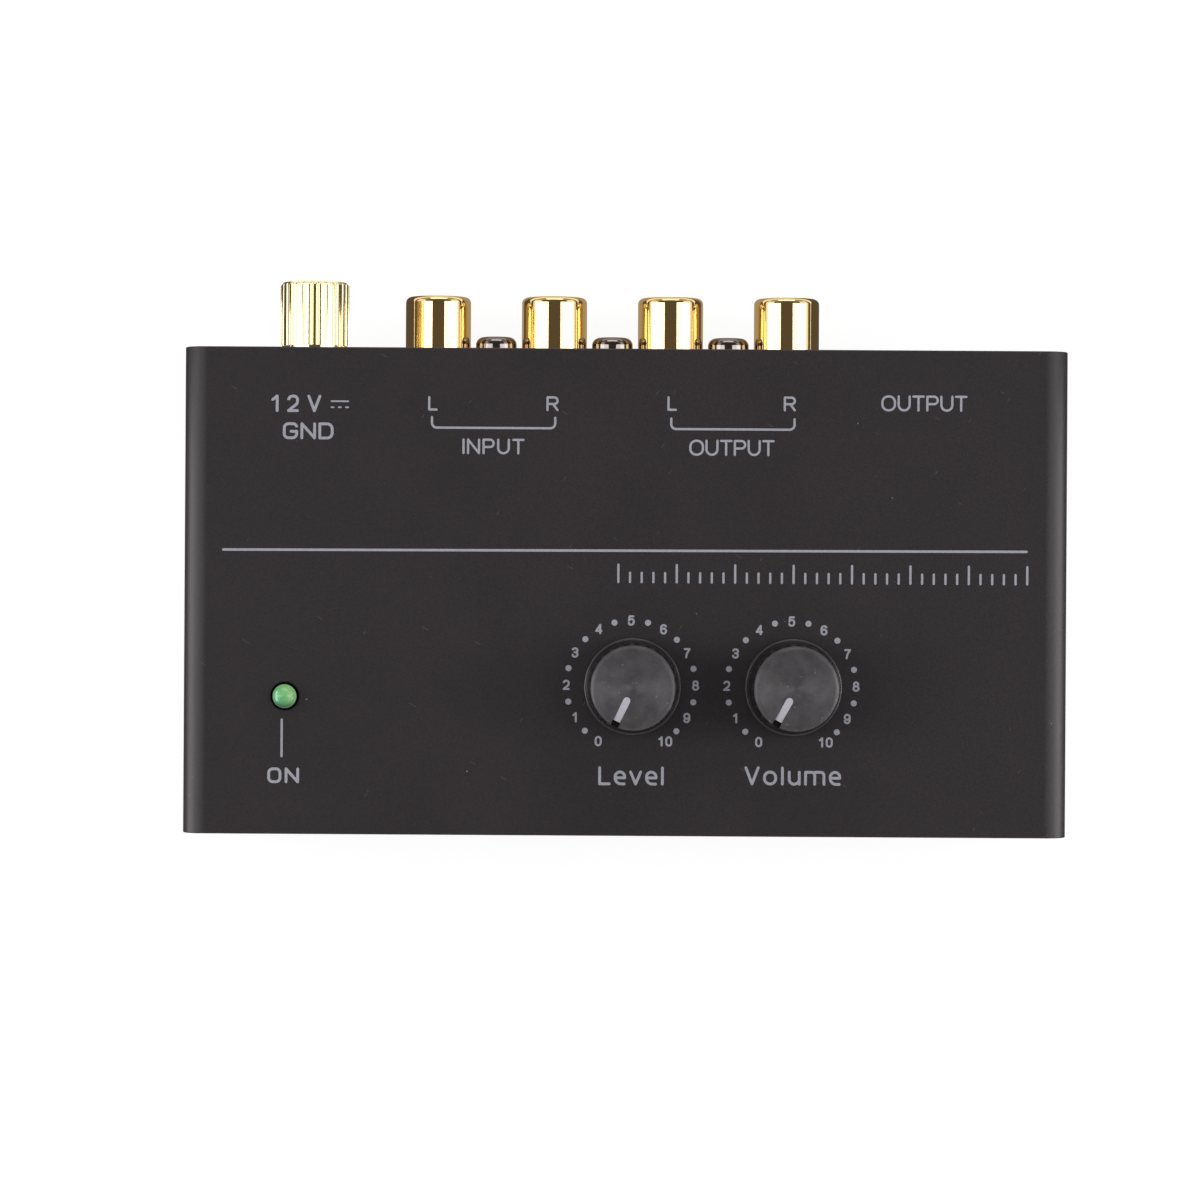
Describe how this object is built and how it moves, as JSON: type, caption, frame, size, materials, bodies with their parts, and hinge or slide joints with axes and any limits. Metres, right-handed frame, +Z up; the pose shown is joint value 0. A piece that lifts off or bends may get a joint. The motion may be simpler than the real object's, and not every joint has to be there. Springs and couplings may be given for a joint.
{
  "type": "desktop phono preamplifier",
  "caption": "Flat folded-steel audio box with round dials and a power light on top, and phono sockets, a plug jack, a power inlet and a ground terminal at the rear.",
  "frame": {"origin": "centre of the bounding box on the plane that the feet rest on", "axes": "+X to the right of someone facing the dials, +Y to the rear sockets, +Z up"},
  "size_m": [0.11, 0.0688, 0.0405],
  "materials": {
    "case_coating": "fine-grained satin black powder coat",
    "screw_black": "black nickel plate",
    "screw_bright": "bright zinc plate",
    "foot_rubber": "matt black rubber",
    "spacer_brass": "turned brass",
    "board_laminate": "green solder mask over glass laminate",
    "chip_plastic": "moulded epoxy",
    "tinned_lead": "tinned copper",
    "can_sleeve": "shrunk vinyl sleeve with a grey stripe",
    "film_box": "moulded box",
    "resistor_lacquer": "blue lacquer with colour bands",
    "ceramic_dip": "dipped coating",
    "diode_epoxy": "moulded epoxy with a pale band",
    "light_lens": "green tinted epoxy",
    "spacer_nylon": "natural nylon",
    "socket_plastic": "moulded black plastic",
    "insulator_white": "moulded white plastic",
    "insulator_red": "moulded red plastic",
    "gold_plate": "polished gold plate",
    "spring_bronze": "bright spring bronze",
    "nickel_plate": "nickel plate",
    "wire_sleeve": "green vinyl sleeve",
    "knob_plastic": "satin black moulding",
    "pointer_white": "inlaid white bar",
    "shaft_metal": "turned aluminium",
    "pot_plastic": "moulded thermoplastic",
    "bushing_metal": "die-cast zinc",
    "wafer_phenolic": "phenolic sheet"
  },
  "bodies": {
    "case": {"amplifier_chips": "chip_plastic", "board_screws": "screw_bright", "board_standoffs": "spacer_brass", "bottom_tray": "case_coating", "center_contacts": "gold_plate", "ceramic_capacitors": "ceramic_dip", "chip_legs": "tinned_lead", "cover_screws": "screw_black", "electrolytic_capacitors": "can_sleeve", "film_capacitors": "film_box", "ground_lock_nut": "nickel_plate", "ground_lug": "tinned_lead", "ground_stud": "gold_plate", "ground_wire": "wire_sleeve", "input_left_barrel": "gold_plate", "input_right_barrel": "gold_plate", "left_insulators": "insulator_white", "level_pot_bushing": "bushing_metal", "level_pot_housing": "pot_plastic", "level_pot_terminals": "tinned_lead", "level_pot_wafer": "wafer_phenolic", "light_leads": "tinned_lead", "light_spacer": "spacer_nylon", "main_board": "board_laminate", "output_jack_housing": "socket_plastic", "output_jack_ring_spring": "spring_bronze", "output_jack_sleeve_spring": "spring_bronze", "output_jack_tip_spring": "spring_bronze", "output_left_barrel": "gold_plate", "output_right_barrel": "gold_plate", "power_diode": "diode_epoxy", "power_inlet_housing": "socket_plastic", "power_inlet_pin": "nickel_plate", "power_inlet_spring": "spring_bronze", "power_light": "light_lens", "resistors": "resistor_lacquer", "right_insulators": "insulator_red", "rubber_feet": "foot_rubber", "socket_block": "socket_plastic", "socket_ground_tabs": "tinned_lead", "socket_screws": "screw_black", "top_cover": "case_coating", "voltage_regulator": "chip_plastic", "volume_pot_bushing": "bushing_metal", "volume_pot_housing": "pot_plastic", "volume_pot_terminals": "tinned_lead", "volume_pot_wafer": "wafer_phenolic"},
    "level_control": {"level_knob": "knob_plastic", "level_pointer": "pointer_white", "level_shaft": "shaft_metal", "level_wiper": "spring_bronze"},
    "volume_control": {"volume_knob": "knob_plastic", "volume_pointer": "pointer_white", "volume_shaft": "shaft_metal", "volume_wiper": "spring_bronze"},
    "ground_clamp": {"ground_clamp_washer": "gold_plate"},
    "ground_thumb_nut": {"ground_nut": "gold_plate"}
  },
  "joints": [
    {"name": "level_turn", "type": "hinge", "parent": "case", "child": "level_control", "pos_m": [0.00095, -0.01586, 0.03], "axis": [0, 0, -1], "range_deg": [0, 300]},
    {"name": "volume_turn", "type": "hinge", "parent": "case", "child": "volume_control", "pos_m": [0.02087, -0.01586, 0.03], "axis": [0, 0, -1], "range_deg": [0, 300]},
    {"name": "ground_clamp_travel", "type": "slide", "parent": "case", "child": "ground_clamp", "axis": [0, 1, 0], "range_m": [0, 0.0028]},
    {"name": "ground_nut_turn", "type": "hinge", "parent": "ground_clamp", "child": "ground_thumb_nut", "pos_m": [-0.03915, 0.02647, 0.02355], "axis": [0, 1, 0], "range_deg": [0, 1440]}
  ],
  "couplings": [
    {"joint": "ground_nut_turn", "follows": "ground_clamp_travel", "rad_per_m": 8976}
  ]
}
